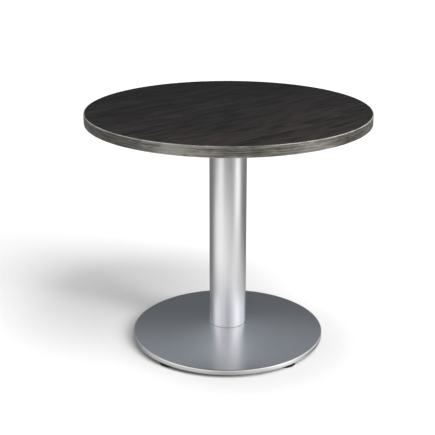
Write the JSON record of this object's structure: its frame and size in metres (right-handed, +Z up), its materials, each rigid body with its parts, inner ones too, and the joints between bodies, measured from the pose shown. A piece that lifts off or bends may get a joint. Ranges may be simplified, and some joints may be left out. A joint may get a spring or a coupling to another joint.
{
  "type": "round table",
  "caption": "Round pedestal coffee table: wood-effect top with edge band, satin steel column and shallow conical disc base on screw-in levelling feet.",
  "frame": {"origin": "on the floor under the middle of the base", "axes": "+Z up along the column, -Y to the front, +X to the right seen from the front"},
  "size_m": [0.6, 0.6, 0.517],
  "materials": {
    "decor_laminate": "matt dark wood-effect laminate",
    "edge_band": "satin grey-brown wood-effect edge band",
    "particle_board": "raw chipboard",
    "backing": "plain balancing laminate",
    "black_paint": "black powder coat on a casting",
    "zinc_steel": "bright zinc plating",
    "satin_steel": "satin brushed steel",
    "black_rubber": "matt",
    "black_casting": "black primed cast iron",
    "black_plastic": "moulded black plastic",
    "black_sole": "matt"
  },
  "bodies": {
    "table": {"top_core": "particle_board", "top_laminate": "decor_laminate", "backing_laminate": "backing", "edge_band": "edge_band", "spider": "black_paint", "spider_screws": "zinc_steel", "rod_upper_washer": "zinc_steel", "rod_upper_nut": "zinc_steel", "tie_rod": "zinc_steel", "column_tube": "satin_steel", "column_gasket": "black_rubber", "base_cover": "satin_steel", "base_casting": "black_casting", "rod_lower_washer": "zinc_steel", "rod_lower_nut": "zinc_steel"},
    "sole_rear_right": {"glide_sole_rear_right": "black_sole"},
    "spindle_rear_right": {"glide_knob_rear_right": "black_plastic", "glide_stem_rear_right": "zinc_steel"},
    "sole_rear_left": {"glide_sole_rear_left": "black_sole"},
    "spindle_rear_left": {"glide_knob_rear_left": "black_plastic", "glide_stem_rear_left": "zinc_steel"},
    "sole_front_left": {"glide_sole_front_left": "black_sole"},
    "spindle_front_left": {"glide_knob_front_left": "black_plastic", "glide_stem_front_left": "zinc_steel"},
    "sole_front_right": {"glide_sole_front_right": "black_sole"},
    "spindle_front_right": {"glide_knob_front_right": "black_plastic", "glide_stem_front_right": "zinc_steel"}
  },
  "joints": [
    {"name": "lift_rear_right", "type": "slide", "parent": "table", "child": "sole_rear_right", "axis": [0, 0, -1], "range_m": [0, 0.004]},
    {"name": "turn_rear_right", "type": "hinge", "parent": "sole_rear_right", "child": "spindle_rear_right", "pos_m": [0.1194, 0.13736, 0], "axis": [0, 0, -1], "range_deg": [0, 1152]},
    {"name": "lift_rear_left", "type": "slide", "parent": "table", "child": "sole_rear_left", "axis": [0, 0, -1], "range_m": [0, 0.004]},
    {"name": "turn_rear_left", "type": "hinge", "parent": "sole_rear_left", "child": "spindle_rear_left", "pos_m": [-0.1194, 0.13736, 0], "axis": [0, 0, -1], "range_deg": [0, 1152]},
    {"name": "lift_front_left", "type": "slide", "parent": "table", "child": "sole_front_left", "axis": [0, 0, -1], "range_m": [0, 0.004]},
    {"name": "turn_front_left", "type": "hinge", "parent": "sole_front_left", "child": "spindle_front_left", "pos_m": [-0.1194, -0.13736, 0], "axis": [0, 0, -1], "range_deg": [0, 1152]},
    {"name": "lift_front_right", "type": "slide", "parent": "table", "child": "sole_front_right", "axis": [0, 0, -1], "range_m": [0, 0.004]},
    {"name": "turn_front_right", "type": "hinge", "parent": "sole_front_right", "child": "spindle_front_right", "pos_m": [0.1194, -0.13736, 0], "axis": [0, 0, -1], "range_deg": [0, 1152]}
  ],
  "couplings": [
    {"joint": "lift_rear_right", "follows": "turn_rear_right", "m_per_rad": 0.00019894},
    {"joint": "lift_rear_left", "follows": "turn_rear_left", "m_per_rad": 0.00019894},
    {"joint": "lift_front_left", "follows": "turn_front_left", "m_per_rad": 0.00019894},
    {"joint": "lift_front_right", "follows": "turn_front_right", "m_per_rad": 0.00019894}
  ]
}
